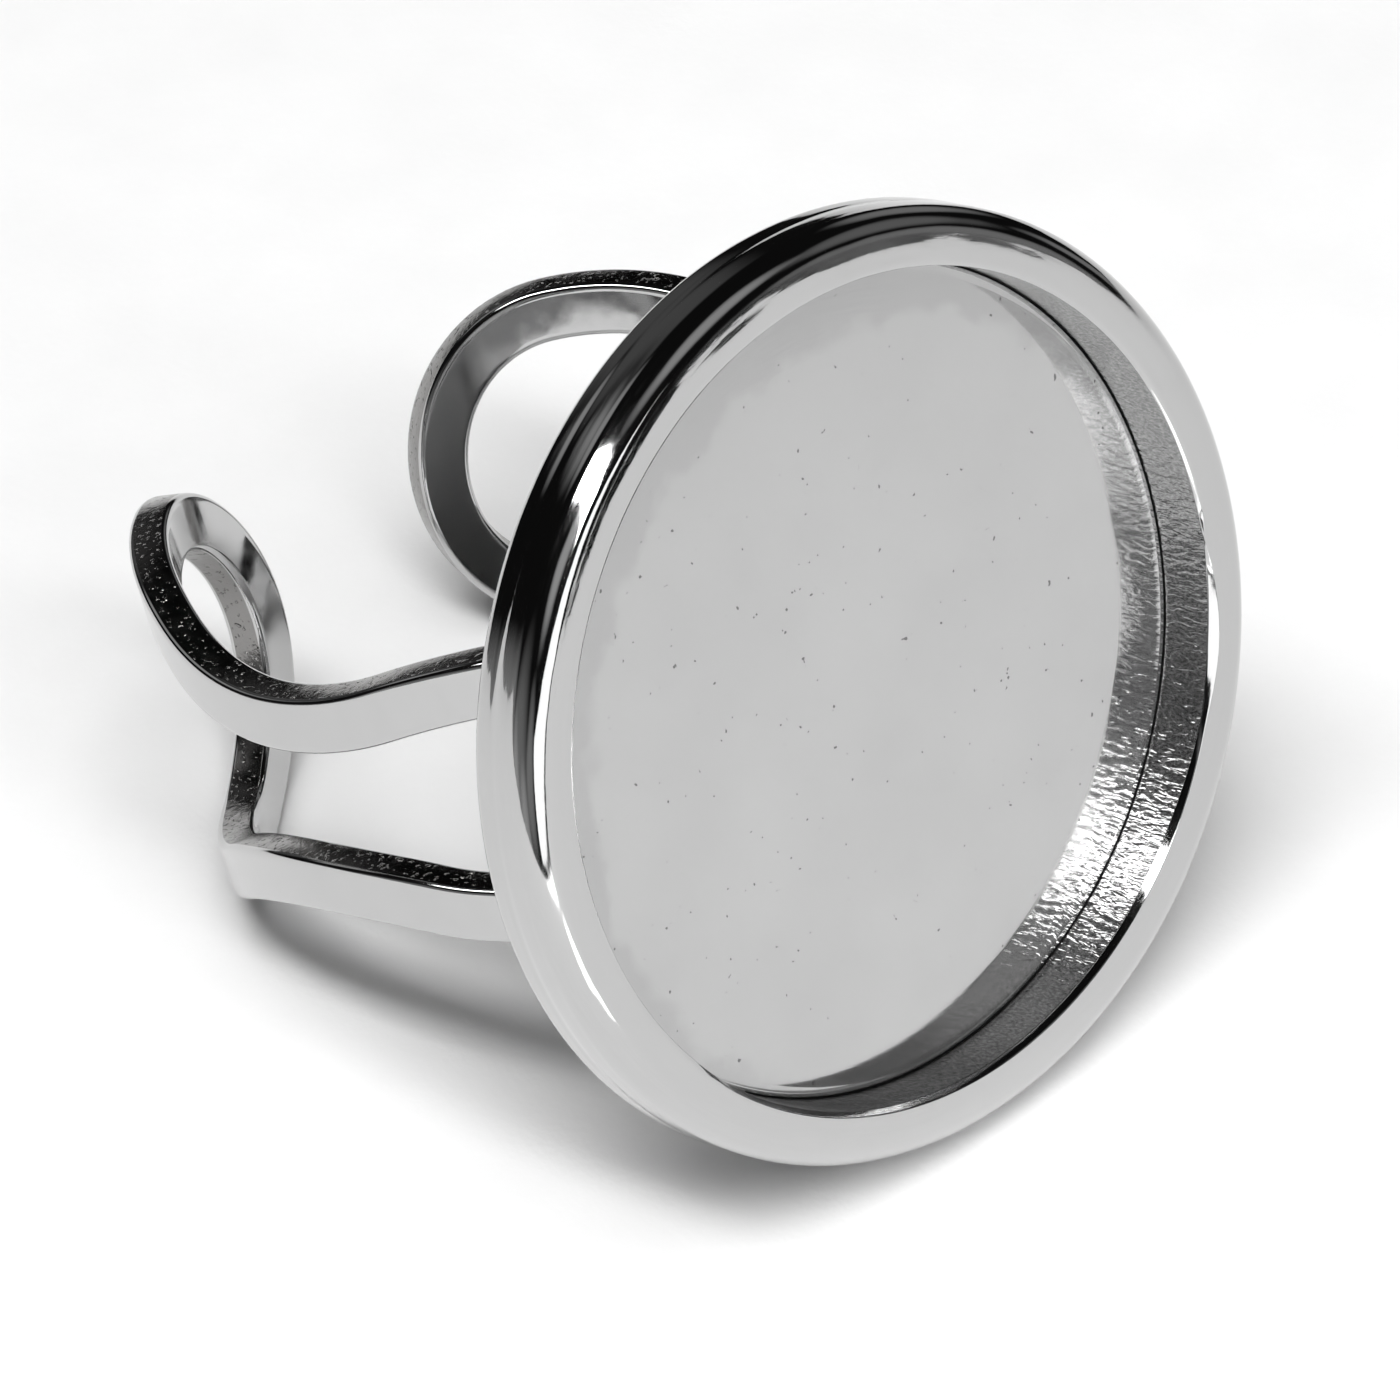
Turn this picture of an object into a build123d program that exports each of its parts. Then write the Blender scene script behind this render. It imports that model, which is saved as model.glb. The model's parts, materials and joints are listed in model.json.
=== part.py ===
from build123d import *
from math import cos, degrees, pi, radians, sin
import os

# Adjustable ring blank in polished steel, lying on its side: a turned round tray for a glued
# cabochon, welded on an open hoop that is cut and rolled from one flat strip.
# Both sub-parts are drawn in the ring's own frame: +Z along the finger, -Y out of the tray's
# mouth, the origin in the middle of the finger hole. The last step leans and lowers the ring
# on to the surface that it lies on. All sizes are in millimetres, and angles in degrees.

# Bezel tray
cabochon_diameter = 20.0
cabochon_clearance = 0.05    # radial, room for the glue
rim_width = 1.4              # radial thickness of the tray's wall
tray_height = 2.0
floor_thickness = 0.35
lip_rounding = 0.6           # outer front edge of the wall
back_rounding = 0.35         # outer back edge of the wall
mouth_bevel = 0.1            # inner edge of the lip

# Open-work shank
finger_diameter = 18.2       # US size 8
plate_thickness = 1.0
strip_width = 1.45
tray_spacing = 6.05          # between the middles of the two strips behind the tray
waist_spacing = 4.45         # the same, at the waist beside the finger
loop_width = 9.55            # outer width of each round end, along the finger
finger_gap = 5.6             # between the two loop ends, round the outside of the hoop
straight_angle = 47.0        # from the tray's middle to the end of the straight strips
waist_angle = 84.0           # from the tray's middle to the waist

# Weld between the two
weld_depth = 0.15            # how far the hoop is sunk into the tray's back

# How finely the rolled edges are drawn, and the outline is searched for its lowest point
steps_per_edge = 8
search_steps = 200
bisections = 40
steepest_lean = pi / 4
cutter_overlap = 0.5         # how far a rolled wall stands past the plate on each side
trim_margin = 2.0            # spare height of the plate before its outline is cut

cup_radius = cabochon_diameter / 2 + cabochon_clearance
tray_radius = cup_radius + rim_width
hoop_radius = finger_diameter / 2 + plate_thickness
bore_radius = finger_diameter / 2
tray_back = -(hoop_radius - weld_depth)
tray_front = tray_back - tray_height
cup_floor = tray_back - floor_thickness


# Bezel tray: its section, spun round the axis of the cup. The section's x is a radius, and
# its y is the place along the cup's axis.
with BuildPart() as bezel_tray:
    with BuildSketch(Plane.XY) as tray_section:
        with BuildLine():
            Polyline(
                (0, tray_back),
                (tray_radius, tray_back),
                (tray_radius, tray_front),
                (cup_radius, tray_front),
                (cup_radius, cup_floor),
                (0, cup_floor),
                close=True,
            )
        make_face()
        # Each corner is picked from the section as the one before has left it.
        fillet(tray_section.vertices().group_by(Axis.X)[-1].sort_by(Axis.Y)[0], lip_rounding)
        fillet(tray_section.vertices().group_by(Axis.X)[-1].sort_by(Axis.Y)[-1], back_rounding)
        chamfer(tray_section.vertices().group_by(Axis.X)[1].sort_by(Axis.Y)[0], mouth_bevel)
    revolve(axis=Axis.Y)
bezel_tray.part.label = "bezel_tray"


# Shank, flat: half of the strip's middle line runs from behind the tray, through the waist and
# round the loop end. Its x is the length round the outside of the hoop, from the tray's middle.
def round_the_hoop(angle):
    return radians(angle) * hoop_radius


end_radius = (loop_width - strip_width) / 2
end_centre = pi * hoop_radius - finger_gap / 2 - strip_width / 2 - end_radius
tray_end = (round_the_hoop(straight_angle), tray_spacing / 2)
waist = (round_the_hoop(waist_angle), waist_spacing / 2)
shoulder = (end_centre, end_radius)


def halfway(start, end):
    return ((start[0] + end[0]) / 2, (start[1] + end[1]) / 2)


def s_bend(start, end):
    # Two equal arcs that leave the start and reach the end along the strip's length.
    first = TangentArc(start, halfway(start, end), tangent=(1, 0))
    TangentArc(halfway(start, end), end, tangent=first % 1)


with BuildSketch(Plane.XY) as flat_strip:
    with BuildLine():
        Line((0, tray_spacing / 2), tray_end)
        s_bend(tray_end, waist)
        s_bend(waist, shoulder)
        RadiusArc(shoulder, (end_centre + end_radius, 0), end_radius)
        mirror(about=Plane.XZ)
        mirror(about=Plane.YZ)
    trace(line_width=strip_width)


# Shank, rolled: the flat outline becomes two walls that stand radially through a round tube,
# and the tube is split along them.
def rolled(point, radius):
    turn = point.X / hoop_radius
    return Vector(radius * sin(turn), -radius * cos(turn), point.Y)


def edge_points(edge, steps):
    return [edge @ (step / steps) for step in range(steps + 1)]


def rolled_edge(edge, radius):
    return Spline([rolled(point, radius) for point in edge_points(edge, steps_per_edge)]).edge()


def rolled_wall(outline):
    outside = hoop_radius + cutter_overlap
    inside = bore_radius - cutter_overlap
    return Shell(
        [
            Face.make_surface_from_curves(rolled_edge(edge, outside), rolled_edge(edge, inside))
            for edge in outline.edges()
        ]
    )


outer_wall = rolled_wall(flat_strip.face().outer_wire())
inner_wall = rolled_wall(flat_strip.face().inner_wires()[0])

# The plane is turned so that the seam of the tube's round faces is in the finger gap.
finger_gap_first = Plane(origin=(0, 0, 0), x_dir=(0, 1, 0), z_dir=(0, 0, 1))

with BuildPart() as tube:
    with BuildSketch(finger_gap_first):
        Circle(hoop_radius)
        Circle(bore_radius, mode=Mode.SUBTRACT)
    extrude(amount=loop_width / 2 + trim_margin, both=True)

with BuildPart() as shank:
    outlined = split(tube.part, bisect_by=outer_wall, keep=Keep.ALL, mode=Mode.PRIVATE)
    band = outlined.solids().sort_by(lambda piece: piece.bounding_box().size.Z)[0]
    opened = split(band, bisect_by=inner_wall, keep=Keep.ALL, mode=Mode.PRIVATE)
    add(opened.solids().sort_by(lambda piece: piece.bounding_box().size.Z)[-1])
shank.part.label = "shank"


# Rest: the ring leans back on the tray's back edge and on the lower edges of its loop ends.
def lowest_of_tray(lean):
    low_ring = tray_back - back_rounding
    return -low_ring * sin(lean) - (tray_radius - back_rounding) * cos(lean) - back_rounding


outline_points = [
    rolled(point, radius)
    for edge in flat_strip.face().outer_wire().edges()
    for point in edge_points(edge, search_steps)
    for radius in (hoop_radius, bore_radius)
]


def lowest_of_shank(lean):
    return min(point.Z * cos(lean) - point.Y * sin(lean) for point in outline_points)


def resting_lean():
    flattest, steepest = 0.0, steepest_lean
    for _ in range(bisections):
        lean = (flattest + steepest) / 2
        if lowest_of_tray(lean) < lowest_of_shank(lean):
            flattest = lean
        else:
            steepest = lean
    return lean


lean = resting_lean()

with BuildPart() as leaning_ring:
    with Locations(Location((0, 0, -lowest_of_tray(lean)), (-degrees(lean), 0, 0))):
        add(bezel_tray.part)
        add(shank.part)

# The origin is on the surface, under the middle of the ring's box.
middle = leaning_ring.part.bounding_box().center().Y
with BuildPart() as ring_blank:
    with Locations((0, -middle, 0)):
        add(leaning_ring.part)
ring_blank.part.label = "ring_blank"

os.makedirs("parts", exist_ok=True)
export_step(ring_blank.part, "parts/ring_blank.step")

print("lean", degrees(lean), "hoop centre y", -middle, "z", -lowest_of_tray(lean))
print("volume", ring_blank.part.volume, "box", ring_blank.part.bounding_box())
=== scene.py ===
import json
from math import atan2, cos, degrees, pi, radians, sin

import bmesh
import bpy
from mathutils import Matrix, Quaternion, Vector


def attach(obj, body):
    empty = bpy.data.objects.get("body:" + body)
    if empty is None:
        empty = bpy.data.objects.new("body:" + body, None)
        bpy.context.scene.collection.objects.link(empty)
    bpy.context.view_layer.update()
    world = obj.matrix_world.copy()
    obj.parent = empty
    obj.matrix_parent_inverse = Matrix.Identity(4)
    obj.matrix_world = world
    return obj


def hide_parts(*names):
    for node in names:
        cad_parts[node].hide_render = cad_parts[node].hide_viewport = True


# An adjustable ring blank in polished stainless steel, lying on its side on a pale table: a round
# bezel tray, welded on an open hoop made from one looped flat strip. Everything is in metres.
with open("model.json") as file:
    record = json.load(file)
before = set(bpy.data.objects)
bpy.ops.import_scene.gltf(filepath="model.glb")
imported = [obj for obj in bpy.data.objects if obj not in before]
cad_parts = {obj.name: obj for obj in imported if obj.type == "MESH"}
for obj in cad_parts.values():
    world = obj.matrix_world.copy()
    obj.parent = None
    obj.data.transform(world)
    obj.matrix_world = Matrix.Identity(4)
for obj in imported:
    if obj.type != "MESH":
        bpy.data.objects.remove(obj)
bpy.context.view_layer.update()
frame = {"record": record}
scene = bpy.context.scene


# Bezel tray: a shallow cup turned from stainless steel bar, for a glued cabochon. Its lip and
# grooved outer wall are polished, its floor and back are left satin, and its inner wall keeps
# fine marks across it from the tool. Its back is welded on the hoop.
mm = 0.001
cup_radius = 10.05 * mm
rim_width = 1.4 * mm
tray_height = 2.0 * mm
floor_thickness = 0.35 * mm
lip_rounding = 0.6 * mm
back_rounding = 0.35 * mm
wall_taper = 0.02 * mm       # the outer wall narrows by this much towards the lip
taper_start = -11.0 * mm     # along the ring's Y
groove_place = -10.72 * mm   # the same, of a shallow groove round the outer wall
groove_width = 0.36 * mm
groove_depth = 0.012 * mm
groove_steps = 12
mouth_width = 0.11 * mm      # the slope at the inner edge of the lip
mouth_depth = 0.05 * mm
mouth_rounding = 0.02 * mm
slope_reach = 1.5            # all its points are within this many of its widths and depths
worn_width = 0.16 * mm       # how much wider and deeper the slope is where it is worn
worn_depth = 0.07 * mm
worn_middle = -20.0          # round the mouth, in degrees from the ring's +X towards its +Z
worn_reach = 13.0
pinch_width = 0.10 * mm      # how much narrower it is at a small dent beside the worn stretch
pinch_middle = -6.0
pinch_reach = 4.0
steep_depth = 0.15 * mm      # how much deeper it is along the lower part of the mouth
steep_start = -30.0          # round the mouth, in degrees as above
steep_end = -150.0
steep_fade = 15.0            # the stretch over which it comes and goes
weld_depth = 0.15 * mm
hoop_radius = 10.1 * mm      # outside of the hoop
seam_border = 0.02 * mm      # a narrow ring of faces that keeps the wall above it evenly shaded
seam_width = 0.045 * mm      # the fine dark seam at the foot of the inner wall
seam_depth = 0.08 * mm
foot_width = 0.22 * mm       # the slope that the tool's corner leaves on the floor beside it
foot_rise = 0.04 * mm
foot_rounding = 0.08 * mm
round_steps = 288            # facets round the tray
merge_distance = 0.0005 * mm
near = 0.001 * mm            # how close to a radius or depth a point counts as on it

mounts = {mount["name"]: mount for mount in frame["record"]["mounts"]}
hoop_middle = Vector(mounts["finger_hoop"]["pos_m"])
finger_axis = Vector(mounts["finger_hoop"]["axis"])
lean = atan2(finger_axis.y, finger_axis.z)

# The ring's own frame has +Z along the finger and -Y out of the tray's mouth.
ring_place = Matrix.Translation(hoop_middle) @ Matrix.Rotation(-lean, 4, "X")
tray_back = -(hoop_radius - weld_depth)
tray_front = tray_back - tray_height
cup_floor = tray_back - floor_thickness
tray_radius = cup_radius + rim_width


def finished_piece(name, bm, finishes):
    bmesh.ops.remove_doubles(bm, verts=bm.verts, dist=merge_distance)
    bmesh.ops.recalc_face_normals(bm, faces=bm.faces)
    bmesh.ops.transform(bm, matrix=ring_place, verts=bm.verts)
    mesh = bpy.data.meshes.new(name)
    bm.to_mesh(mesh)
    bm.free()
    mesh.shade_smooth()
    for finish in finishes:
        mesh.materials.append(finish)
    piece = bpy.data.objects.new(name, mesh)
    scene.collection.objects.link(piece)
    # Wide faces stay flat right up to the rounded edges beside them.
    piece.modifiers.new("weighted normals", "WEIGHTED_NORMAL").weight = 100
    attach(piece, "root")
    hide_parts("ring_blank")


def node(tree, kind, inputs, **settings):
    made = tree.nodes.new(kind)
    for name, value in settings.items():
        setattr(made, name, value)
    for socket, value in inputs.items():
        if isinstance(value, bpy.types.NodeSocket):
            tree.links.new(value, made.inputs[socket])
        else:
            made.inputs[socket].default_value = value
    return made


def metal(name, colour=None):
    # Where no colour is given, a pattern gives it.
    material = bpy.data.materials.new(name)
    material.use_nodes = True
    shader = material.node_tree.nodes["Principled BSDF"]
    shader.inputs["Metallic"].default_value = 1.0
    if colour is not None:
        shader.inputs["Base Color"].default_value = (*colour, 1)
    return material, material.node_tree, shader


def ring_point(tree):
    # The place on the piece in the ring's own frame.
    place = node(tree, "ShaderNodeTexCoord", {})
    turned = node(
        tree, "ShaderNodeMapping",
        {"Vector": place.outputs["Object"], "Location": hoop_middle, "Rotation": (-lean, 0, 0)},
        vector_type="TEXTURE",
    )
    return turned.outputs["Vector"]


def grain(tree, point, sizes, detail=2.0, distortion=0.0):
    # Noise whose spots are as long as the three sizes.
    stretched = node(
        tree, "ShaderNodeMapping", {"Vector": point, "Scale": [1 / size for size in sizes]}
    )
    return node(
        tree, "ShaderNodeTexNoise",
        {
            "Vector": stretched.outputs["Vector"], "Scale": 1.0, "Detail": detail,
            "Distortion": distortion,
        },
    ).outputs["Fac"]


def product(tree, first, second):
    return node(tree, "ShaderNodeMath", {0: first, 1: second}, operation="MULTIPLY").outputs[0]


def axis_distance(tree, point):
    flat = node(tree, "ShaderNodeVectorMath", {0: point, 1: (1, 0, 1)}, operation="MULTIPLY")
    length = node(tree, "ShaderNodeVectorMath", {0: flat.outputs[0]}, operation="LENGTH")
    return length.outputs["Value"]


def round_point(tree, point, drift_length, drift):
    # Radius and depth on the tray, so that a pattern on them runs round its axis, with a third
    # part that drifts along the rim, so that no line of it runs all the way round.
    parts = node(tree, "ShaderNodeSeparateXYZ", {"Vector": point})
    shift = product(tree, grain(tree, point, [drift_length] * 3), drift)
    joined = node(
        tree, "ShaderNodeCombineXYZ",
        {"X": axis_distance(tree, point), "Y": parts.outputs["Y"], "Z": shift},
    )
    return joined.outputs["Vector"]


def ranged(tree, value, low, high, low_to, high_to):
    return node(
        tree, "ShaderNodeMapRange",
        {"Value": value, "From Min": low, "From Max": high, "To Min": low_to, "To Max": high_to},
    ).outputs["Result"]


def spread(tree, noise, low_to, high_to):
    # Most of a noise's values lie between 0.3 and 0.7.
    return ranged(tree, noise, 0.3, 0.7, low_to, high_to)


def relief(tree, height, depth, before=None):
    inputs = {"Height": height, "Distance": depth}
    if before is not None:
        inputs["Normal"] = before
    return node(tree, "ShaderNodeBump", inputs).outputs["Normal"]


# The polish has faint streaks round the rim, which a buffing wheel leaves as shallow waves.
steel_grey = (0.53, 0.53, 0.53)
wave_size, wave_depth = 2.4 * mm, 0.022 * mm
streak_size, streak_depth = 0.6 * mm, 0.028 * mm
line_size, line_depth = 0.06 * mm, 0.0005 * mm

rim_polish, tree, shader = metal("polished_steel", steel_grey)
point = ring_point(tree)
waves = grain(tree, point, [wave_size] * 3, detail=1.0)
around = round_point(tree, point, drift_length=5 * mm, drift=2.0 * mm)
streaks = grain(tree, around, [streak_size] * 3, detail=1.0)
around = round_point(tree, point, drift_length=2 * mm, drift=1.0 * mm)
lines = grain(tree, around, [line_size] * 3)
waved = relief(tree, waves, wave_depth)
streaked = relief(tree, streaks, streak_depth, waved)
tree.links.new(spread(tree, lines, 0.04, 0.09), shader.inputs["Roughness"])
tree.links.new(relief(tree, lines, line_depth, streaked), shader.inputs["Normal"])

# The satin floor is even, with fine round lines, faint clouds and a few dark specks. It scatters
# a part of its light. A crescent of painted shadow from the lip, with a ragged inner edge, lies at
# its upper left, outside a circle whose middle is a little to the lower right of the cup's.
scattered = 0.12
satin_line_size, satin_line_depth = 0.12 * mm, 0.0006 * mm
cloud_size = 3.0 * mm
speck_size = 0.16 * mm
speck_grey = 0.35            # a share of the clean steel's colour
speck_start, speck_full = 0.76, 0.79
lip_shadow_middle = (0.9 * mm, 0, -1.2 * mm)
lip_shadow_start, lip_shadow_full = 10.0 * mm, 10.4 * mm
lip_shadow_darkening = 0.11
patch_size, patch_reach = 1.0 * mm, 1.6 * mm

satin, tree, shader = metal("satin_steel")
shader.inputs["Metallic"].default_value = 1 - scattered
point = ring_point(tree)
around = round_point(tree, point, drift_length=3 * mm, drift=1.0 * mm)
lines = grain(tree, around, [satin_line_size] * 3)
clouds = grain(tree, point, [cloud_size] * 3)
specks = grain(tree, point, [speck_size] * 3, detail=1.0)
clean = ranged(tree, specks, speck_start, speck_full, 1.0, speck_grey)
# Painted shadow of the lip: the floor's colour is darker outside a ragged circle towards its upper
# left.
shifted = node(tree, "ShaderNodeVectorMath", {0: point, 1: lip_shadow_middle}, operation="SUBTRACT")
ragged = node(
    tree, "ShaderNodeMath",
    {
        0: grain(tree, point, [patch_size] * 3, detail=3.0), 1: patch_reach,
        2: axis_distance(tree, shifted.outputs[0]),
    },
    operation="MULTIPLY_ADD",
).outputs[0]
lip_shadow = ranged(tree, ragged, lip_shadow_start, lip_shadow_full, 1.0, 1 - lip_shadow_darkening)
colour = product(tree, product(tree, clean, lip_shadow), spread(tree, clouds, 0.50, 0.53))
tree.links.new(colour, shader.inputs["Base Color"])
tree.links.new(spread(tree, clouds, 0.06, 0.11), shader.inputs["Roughness"])
tree.links.new(relief(tree, lines, satin_line_depth), shader.inputs["Normal"])

# The inner wall is crossed by short tool marks, which catch the light one by one. The tool
# chattered most in the lower half of the cup, and a little less at its very bottom.
tick_sizes, tick_depth = (0.15 * mm, 0.6 * mm, 0.15 * mm), 0.040 * mm
fine_sizes, fine_depth = (0.05 * mm, 0.12 * mm, 0.05 * mm), 0.0012 * mm
broad_sizes, broad_depth = (0.7 * mm, 1.2 * mm, 0.7 * mm), 0.014 * mm
chatter_start, chatter_full = 4.0 * mm, 1.0 * mm     # heights in the cup, along the ring's Z
chatter_easing, chatter_end = -9.2 * mm, -9.8 * mm
faint_marks, eased_marks = 0.15, 0.5                 # shares of their full depth

turned, tree, shader = metal("turned_steel")
point = ring_point(tree)
ticks = grain(tree, point, tick_sizes, distortion=0.8)
fine = grain(tree, point, fine_sizes)
broad = grain(tree, point, broad_sizes)
height = node(tree, "ShaderNodeSeparateXYZ", {"Vector": point}).outputs["Z"]
begun = ranged(tree, height, chatter_start, chatter_full, faint_marks, 1.0)
ended = ranged(tree, height, chatter_easing, chatter_end, 1.0, eased_marks)
marks = product(tree, ticks, product(tree, begun, ended))
tree.links.new(spread(tree, fine, 0.38, 0.66), shader.inputs["Base Color"])
tree.links.new(spread(tree, fine, 0.12, 0.22), shader.inputs["Roughness"])
bumped = relief(tree, broad, broad_depth)
marked = relief(tree, marks, tick_depth, bumped)
tree.links.new(relief(tree, fine, fine_depth, marked), shader.inputs["Normal"])

# The seam between the wall and the floor is painted near-black, as painted shade in the crease.
seam_grain_size = 0.10 * mm
seam_shade_finish, tree, shader = metal("painted_seam_shade")
seam_speckle = grain(tree, ring_point(tree), [seam_grain_size] * 3)
tree.links.new(spread(tree, seam_speckle, 0.01, 0.03), shader.inputs["Base Color"])
tree.links.new(spread(tree, seam_speckle, 0.5, 0.7), shader.inputs["Roughness"])

# The tray's section is spun round the axis of the cup, and its corners are then rounded.
groove = []
for step in range(groove_steps + 1):
    share = step / groove_steps
    inward = groove_depth * (1 - cos(2 * pi * share)) / 2
    groove.append((tray_radius - inward, groove_place + groove_width * (0.5 - share)))
lip_radius = tray_radius - wall_taper
section = [
    (0, tray_back),
    (tray_radius, tray_back),
    *groove,
    (tray_radius, taper_start),
    (lip_radius, tray_front),
    (cup_radius + mouth_width, tray_front),
    (cup_radius, tray_front + mouth_depth),
    (cup_radius, cup_floor - foot_rise - seam_border),
    (cup_radius, cup_floor - foot_rise),
    (cup_radius - seam_width / 2, cup_floor - foot_rise + seam_depth),
    (cup_radius - seam_width, cup_floor - foot_rise),
    (cup_radius - foot_width, cup_floor),
    (0, cup_floor),
]
bm = bmesh.new()
corners = [bm.verts.new((radius, depth, 0)) for radius, depth in section]
edges = [bm.edges.new(pair) for pair in zip(corners, corners[1:])]
bmesh.ops.spin(
    bm, geom=corners + edges, cent=(0, 0, 0), axis=(0, 1, 0), angle=2 * pi,
    steps=round_steps, use_merge=True,
)
bmesh.ops.remove_doubles(bm, verts=bm.verts, dist=merge_distance)


def is_on_rim(vert, radius, depth):
    away = Vector((vert.co.x, vert.co.z)).length
    return abs(away - radius) < near and abs(vert.co.y - depth) < near


def rim_edges(radius, depth):
    return [
        edge for edge in bm.edges
        if all(is_on_rim(vert, radius, depth) for vert in edge.verts)
    ]


for radius, depth, rounding, segments in (
    (lip_radius, tray_front, lip_rounding, 12),
    (tray_radius, tray_back, back_rounding, 8),
    (cup_radius + mouth_width, tray_front, mouth_rounding, 3),
    (cup_radius, tray_front + mouth_depth, mouth_rounding, 3),
    (cup_radius - foot_width, cup_floor, foot_rounding, 4),
):
    bmesh.ops.bevel(
        bm, geom=rim_edges(radius, depth), offset=rounding, offset_type="OFFSET",
        segments=segments, profile=0.5, affect="EDGES", material=-1,
    )


def clamped(value):
    return min(max(value, 0), 1)


def swell(turn, middle, reach):
    # 1 in the middle of a stretch of the mouth, and 0 from its ends on.
    return max(0, 1 - ((turn - middle) / reach) ** 2) ** 1.5


# One stretch of the mouth is worn to a wider and deeper slope, a dent beside it pinches the
# slope, and below them the slope is steeper. Its outer points move along the radius, and its
# inner ones along the wall.
for vert in bm.verts:
    flat = Vector((vert.co.x, vert.co.z))
    turn = degrees(atan2(flat.y, flat.x))
    out = (flat.length - cup_radius) / mouth_width
    if vert.co.y < tray_front + slope_reach * mouth_depth and out < slope_reach:
        share = clamped(out)
        wear = swell(turn, worn_middle, worn_reach)
        pinch = swell(turn, pinch_middle, pinch_reach)
        begun = clamped((steep_start - turn) / steep_fade)
        ended = clamped((turn - steep_end) / steep_fade)
        deeper = (worn_depth * wear + steep_depth * begun * ended) * (1 - share)
        flat *= 1 + (worn_width * wear - pinch_width * pinch) * share / flat.length
        vert.co = Vector((flat.x, vert.co.y + deeper, flat.y))

# The normals of the floor and the back are along the cup's axis, and a wall's are across it.
along_axis, across_axis = 0.5, 0.2
finishes = [rim_polish, satin, turned, seam_shade_finish]
bmesh.ops.recalc_face_normals(bm, faces=bm.faces)
for face in bm.faces:
    middle = face.calc_center_median()
    away = Vector((middle.x, middle.z)).length
    in_seam = cup_radius - seam_width < away < cup_radius - near
    # Faces in the seam take the near-black finish that paints the crease's shade.
    if in_seam and middle.y > cup_floor - foot_rise:
        face.material_index = finishes.index(seam_shade_finish)
    elif away < cup_radius and abs(face.normal.y) > along_axis:
        face.material_index = finishes.index(satin)
    elif away < cup_radius + 2 * near and abs(face.normal.y) < across_axis:
        face.material_index = finishes.index(turned)
finished_piece("bezel_tray", bm, finishes)


# Shank: one flat strip, closed on itself into a long waisted loop and rolled into an open hoop,
# with a round loop end on each side of the finger gap. Its faces are polished bright, and its
# sheared edges are darker and uneven. It is drawn flat, and then rolled round the finger hole.
plate_thickness = 1.0 * mm
strip_width = 1.45 * mm
tray_spacing = 6.05 * mm     # between the middles of the two strips behind the tray
waist_spacing = 4.45 * mm    # the same, at the waist beside the finger
loop_width = 9.55 * mm
finger_gap = 5.6 * mm
straight_angle = 47.0        # from the tray's middle to the end of the straight strips
waist_angle = 84.0           # from the tray's middle to the waist
edge_rounding = 0.15 * mm
edge_segments = 4
least_rise = 0.5             # a face whose normal rises by less than this is a sheared edge
corner_angle = 60.0          # an edge that folds by more than this is a corner of the strip
step_length = 0.25 * mm
steps_across = 6

end_radius = (loop_width - strip_width) / 2
end_centre = pi * hoop_radius - finger_gap / 2 - strip_width / 2 - end_radius

bm = bmesh.new()
low = bm.verts.new((0, (tray_spacing - strip_width) / 2, 0))
high = bm.verts.new((0, (tray_spacing + strip_width) / 2, 0))
start_edge = bm.edges.new((low, high))
bmesh.ops.subdivide_edges(bm, edges=[start_edge], cuts=steps_across - 1)
reach = {"at": Vector((0, tray_spacing / 2)), "front": list(bm.verts) + list(bm.edges)}


def run_to(end):
    length = end[0] - reach["at"].x
    steps = round(length / step_length)
    grown = bmesh.ops.spin(
        bm, geom=reach["front"], dvec=(length / steps, 0, 0), axis=(0, 0, 1), steps=steps
    )
    reach.update(at=Vector(end), front=grown["geom_last"])


def turn_to(end, centre, angle):
    steps = round(abs(angle) * (Vector(end) - Vector(centre)).length / step_length)
    grown = bmesh.ops.spin(
        bm, geom=reach["front"], cent=(*centre, 0), axis=(0, 0, 1), angle=angle, steps=steps
    )
    reach.update(at=Vector(end), front=grown["geom_last"])


def s_bend_to(end):
    start = reach["at"]
    length, rise = end[0] - start.x, end[1] - start.y
    radius = (length ** 2 + rise ** 2) / (4 * rise)
    turn = 2 * atan2(rise, length)
    halfway = ((start.x + end[0]) / 2, (start.y + end[1]) / 2)
    turn_to(halfway, (start.x, start.y + radius), turn)
    turn_to(end, (end[0], end[1] - radius), -turn)


run_to((radians(straight_angle) * hoop_radius, tray_spacing / 2))
s_bend_to((radians(waist_angle) * hoop_radius, waist_spacing / 2))
s_bend_to((end_centre, end_radius))
turn_to((end_centre + end_radius, 0), (end_centre, 0), -pi / 2)
for axis in ("Y", "X"):
    drawn = bm.verts[:] + bm.edges[:] + bm.faces[:]
    bmesh.ops.mirror(bm, geom=drawn, axis=axis, merge_dist=merge_distance)
bmesh.ops.remove_doubles(bm, verts=bm.verts, dist=merge_distance)
bmesh.ops.recalc_face_normals(bm, faces=bm.faces)
for face in bm.faces:
    if face.normal.z < 0:
        face.normal_flip()
plate = bmesh.ops.extrude_face_region(bm, geom=bm.faces[:])
raised = [part for part in plate["geom"] if isinstance(part, bmesh.types.BMVert)]
bmesh.ops.translate(bm, verts=raised, vec=(0, 0, plate_thickness))
bmesh.ops.recalc_face_normals(bm, faces=bm.faces)

# The faces of the strip have the first finish and its sheared edges the second. The rounded
# corners between them are buffed with the faces.
for face in bm.faces:
    if abs(face.normal.z) < least_rise:
        face.material_index = 1
strip_corners = [
    edge for edge in bm.edges
    if len(edge.link_faces) == 2 and edge.calc_face_angle() > radians(corner_angle)
]
rounded = bmesh.ops.bevel(
    bm, geom=strip_corners, offset=edge_rounding, offset_type="OFFSET",
    segments=edge_segments, profile=0.5, affect="EDGES", material=-1,
)
for face in rounded["faces"]:
    face.material_index = 0
for vert in bm.verts:
    turn = vert.co.x / hoop_radius
    radius = hoop_radius - vert.co.z
    vert.co = Vector((radius * sin(turn), -radius * cos(turn), vert.co.y))

# The buffed faces have faint soft waves, and small clouds that are a little less bright.
band_wave_size, band_wave_depth = 2.0 * mm, 0.010 * mm
band_cloud_size = 0.4 * mm

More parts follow.
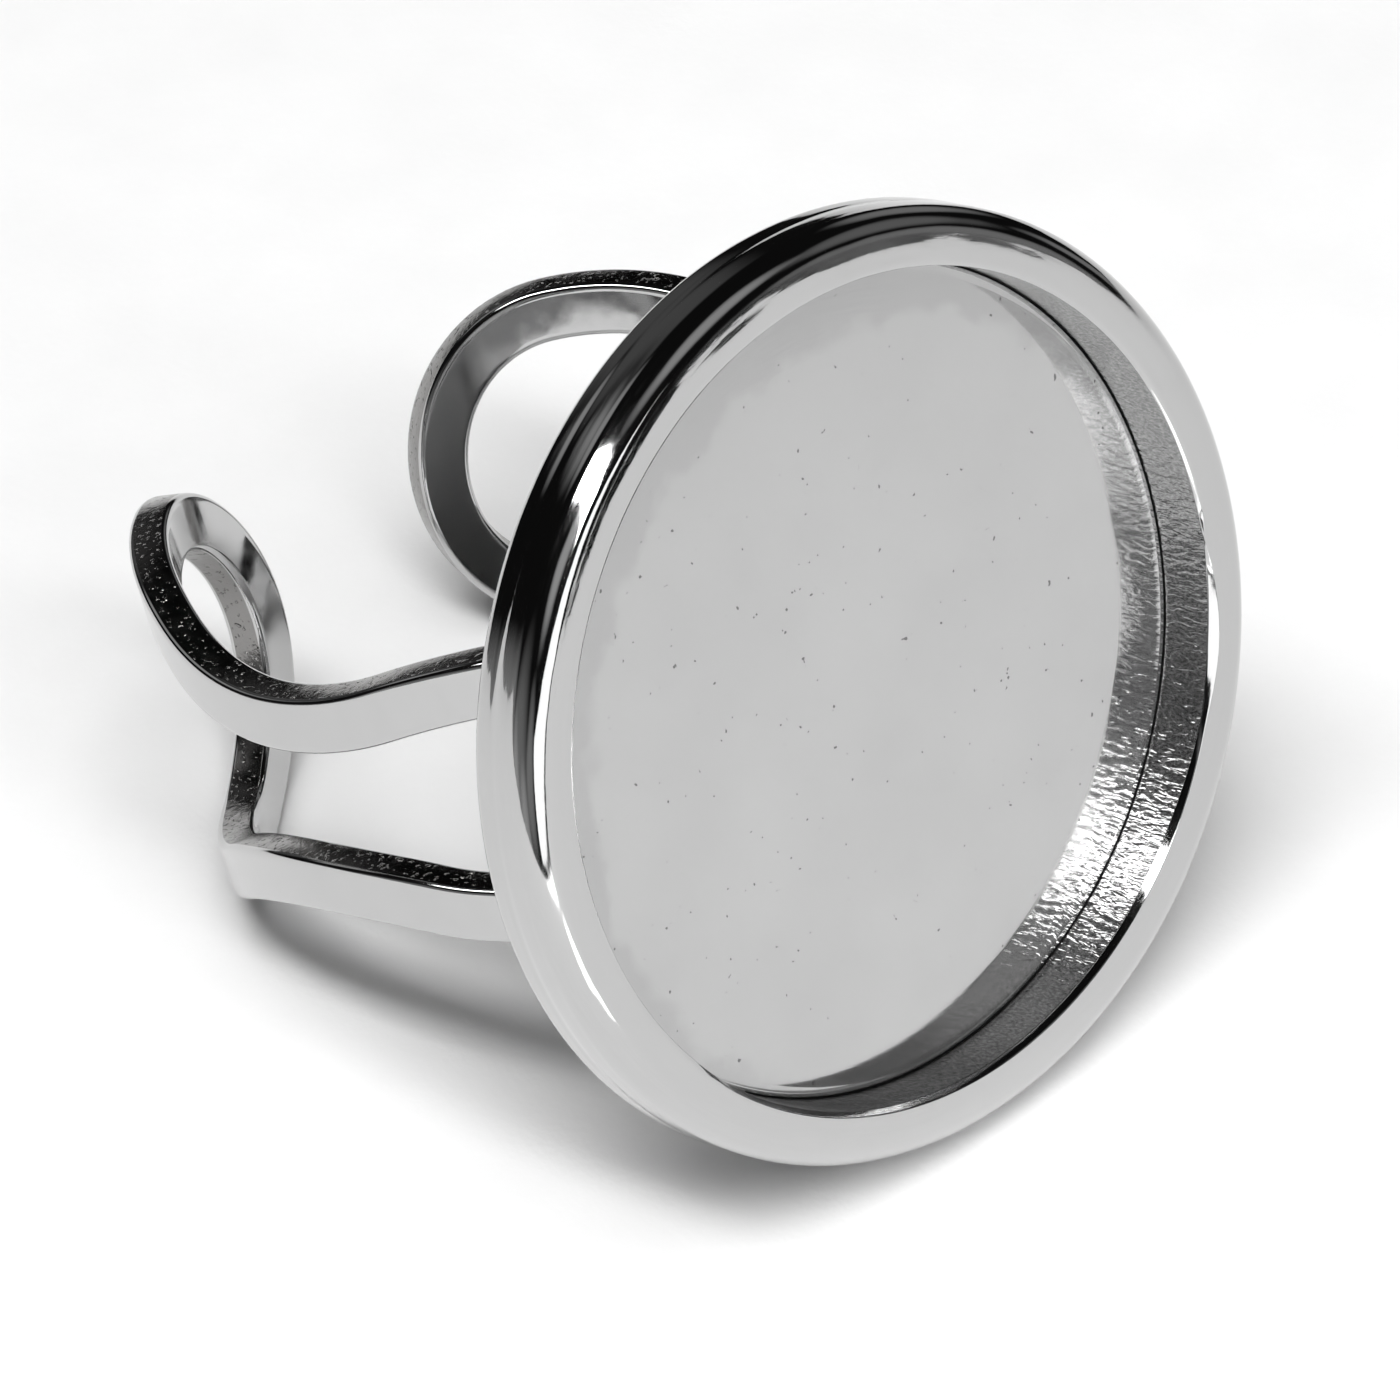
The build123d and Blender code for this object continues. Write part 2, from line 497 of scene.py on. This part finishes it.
buffed, tree, shader = metal("buffed_steel", steel_grey)
point = ring_point(tree)
waves = grain(tree, point, [band_wave_size] * 3)
clouds = grain(tree, point, [band_cloud_size] * 3, detail=3.0)
tree.links.new(spread(tree, clouds, 0.05, 0.11), shader.inputs["Roughness"])
tree.links.new(relief(tree, waves, band_wave_depth), shader.inputs["Normal"])

# The sheared edge is torn: soft dents half a millimetre across, a fine crust on them, and a few
# small burrs that glint.
sheared_grey = (0.26, 0.255, 0.25)
dent_size, dent_depth = 0.45 * mm, 0.014 * mm
crust_size, crust_depth = 0.10 * mm, 0.005 * mm
burr_size, burr_depth = 0.14 * mm, 0.022 * mm
burr_start, burr_full = 0.62, 0.72

sheared, tree, shader = metal("sheared_steel", sheared_grey)
point = ring_point(tree)
dents = grain(tree, point, [dent_size] * 3, distortion=0.4)
crust = grain(tree, point, [crust_size] * 3)
spots = grain(tree, point, [burr_size] * 3, detail=1.0)
burrs = ranged(tree, spots, burr_start, burr_full, 0.0, 1.0)
tree.links.new(spread(tree, dents, 0.12, 0.26), shader.inputs["Roughness"])
dented = relief(tree, dents, dent_depth)
crusted = relief(tree, crust, crust_depth, dented)
tree.links.new(relief(tree, burrs, burr_depth, crusted), shader.inputs["Normal"])
finished_piece("shank", bm, [buffed, sheared])


# Welds: where each strip leaves the tray's back, the wedge between them is filled by a small
# flat bead, dull and slightly uneven. They are hidden behind the tray.
bead_place = (2.1 * mm, -9.93 * mm, 3.02 * mm)
bead_reach = (0.45 * mm, 0.11 * mm, 0.68 * mm)
weld_grey = (0.40, 0.39, 0.38)
lump_size, lump_depth = 0.25 * mm, 0.02 * mm

bm = bmesh.new()
for side in (-1, 1):
    for end in (-1, 1):
        middle = Vector((side * bead_place[0], bead_place[1], end * bead_place[2]))
        bead = Matrix.Translation(middle) @ Matrix.Diagonal((*bead_reach, 1))
        bmesh.ops.create_uvsphere(bm, u_segments=32, v_segments=16, radius=1, matrix=bead)
weld_metal, tree, shader = metal("weld_steel", weld_grey)
lumps = grain(tree, ring_point(tree), [lump_size] * 3)
tree.links.new(spread(tree, lumps, 0.28, 0.45), shader.inputs["Roughness"])
tree.links.new(relief(tree, lumps, lump_depth), shader.inputs["Normal"])
finished_piece("welds", bm, [weld_metal])


# Table: a round pale board with a faint mottle and fine fibres, matt all over. It is a part of
# the studio, and none of the ring.
table_radius = 0.26
mottle_size = 4 * mm
fibre_size, fibre_depth = 0.3 * mm, 0.01 * mm

bpy.ops.mesh.primitive_circle_add(vertices=96, radius=table_radius, fill_type="NGON")
table = bpy.context.object
table.name = "table"
pale = bpy.data.materials.new("pale_board")
pale.use_nodes = True
tree = pale.node_tree
board = tree.nodes["Principled BSDF"]
board.inputs["Roughness"].default_value = 0.9
place = node(tree, "ShaderNodeTexCoord", {}).outputs["Object"]
mottle = grain(tree, place, [mottle_size] * 3, detail=3.0)
fibres = grain(tree, place, [fibre_size] * 3)
tree.links.new(spread(tree, mottle, 0.885, 0.915), board.inputs["Base Color"])
tree.links.new(relief(tree, fibres, fibre_depth), board.inputs["Normal"])
table.data.materials.append(pale)


# Light: a soft lamp above that the steel doesn't mirror, a low window with its light on the sill
# and in a streak in front of the tray, a long lamp overhead, and a dark room with faint glows.
def heading(azimuth, elevation):
    # The direction from the ring to a place in the room. Azimuth 0 is in front of the tray.
    turn, rise = radians(azimuth), radians(elevation)
    return Vector((sin(turn) * cos(rise), -cos(turn) * cos(rise), sin(rise)))


def soft_lamp(name, place, side, size, radiance):
    # A flat panel of light at a place, with its back to the given side and its width level.
    data = bpy.data.lights.new(name, "AREA")
    data.shape = "RECTANGLE"
    data.size, data.size_y = size
    data.energy = radiance * pi * size[0] * size[1]
    lamp = bpy.data.objects.new(name, data)
    lamp.location = place
    lamp.rotation_euler = side.to_track_quat("Z", "Y").to_euler()
    lamp.visible_camera = False
    scene.collection.objects.link(lamp)
    return lamp


above = heading(-60, 75)
fill = soft_lamp("soft_fill", place=above * 0.50, side=above, size=(0.30, 0.30), radiance=3.4)
fill.visible_glossy = False

# The window's light lies on the sill and on the table, so these two panels shine upwards.
window_radiance = 1.9
front = heading(-3, 10.5)
below = Vector((0, 0, -1))
just_above_table = Vector((0, 0, 1 * mm))
sill_place = heading(-12, 0) * 0.225 + just_above_table
streak_place = heading(-3, 0) * 0.078 + just_above_table
soft_lamp("window", front * 0.4, front, size=(0.36, 0.135), radiance=window_radiance)
soft_lamp("sill", sill_place, below, size=(0.09, 0.15), radiance=window_radiance)
soft_lamp("streak", streak_place, below, size=(0.016, 0.064), radiance=window_radiance)

overhead = heading(-74, 67)
lamp_place = overhead * 0.65 + heading(16, 0) * 0.33
soft_lamp("long_lamp", lamp_place, overhead, size=(1.20, 0.12), radiance=12.4)

# The steel mirrors a dark room with faint round glows, and the camera sees an even pale one.
room_glow = 0.006
backdrop = (0.93, 0.93, 0.93, 1)
room = bpy.data.worlds.new("room")
scene.world = room
room.use_nodes = True
tree = room.node_tree
direction = node(tree, "ShaderNodeTexCoord", {}).outputs["Generated"]
glow = room_glow
for azimuth, elevation, inner, outer, brightness in (
    (-88, -5, 0, 42, 0.22),
    (-72, -5, 0, 19, 0.20),
    (-104, -6, 0, 19, 0.22),
    (-132, -12, 0, 22, 0.30),
    (-46, 12, 3, 18, 0.24),
    (42, 3, 3, 13, 0.22),
    (76, 2, 3, 11, 0.22),
    (62, 30, 4, 20, 0.15),
    (32, 56, 4, 22, 0.38),
    (-30, 47, 5, 20, 0.45),
    (112, 20, 4, 18, 0.22),
    (-168, 34, 3, 16, 0.35),
    (165, 15, 5, 20, 0.08),
):
    facing = node(
        tree, "ShaderNodeVectorMath", {0: direction, 1: heading(azimuth, elevation)},
        operation="DOT_PRODUCT",
    )
    patch = node(
        tree, "ShaderNodeMapRange",
        {
            "Value": facing.outputs["Value"], "From Min": cos(radians(outer)),
            "From Max": cos(radians(inner)), "To Max": brightness,
        },
        interpolation_type="SMOOTHSTEP",
    )
    glow = node(tree, "ShaderNodeMath", {0: patch.outputs[0], 1: glow}, operation="ADD").outputs[0]
mirrored = tree.nodes["Background"]
tree.links.new(glow, mirrored.inputs["Strength"])
mirrored.inputs["Color"].default_value = (1, 1, 1, 1)
seen = node(tree, "ShaderNodeBackground", {"Color": backdrop})
path = node(tree, "ShaderNodeLightPath", {})
chooser = node(
    tree, "ShaderNodeMixShader",
    {"Fac": path.outputs["Is Camera Ray"], 1: mirrored.outputs[0], 2: seen.outputs[0]},
)
tree.links.new(chooser.outputs[0], tree.nodes["World Output"].inputs["Surface"])


# Camera: a long lens, above and to the left of the tray's mouth, as in the photograph. It looks
# at a point just behind the tray, and is rolled by a fraction of a degree.
aim = Vector((-3.4989, -5.3573, 11.2252)) * mm
azimuth, elevation, roll = -44.029, 40.704, -0.373
distance = 174.237 * mm

camera_data = bpy.data.cameras.new("camera")
camera_data.sensor_width = 36.0    # this and the lens in millimetres
camera_data.lens = 191.626
camera_data.clip_start = 10 * mm
camera = bpy.data.objects.new("camera", camera_data)
away = heading(azimuth, elevation)
camera.location = aim + away * distance
level = away.to_track_quat("Z", "Y")
camera.rotation_euler = (level @ Quaternion((0, 0, 1), radians(roll))).to_euler()
scene.collection.objects.link(camera)
scene.camera = camera
scene.view_settings.view_transform = "Standard"
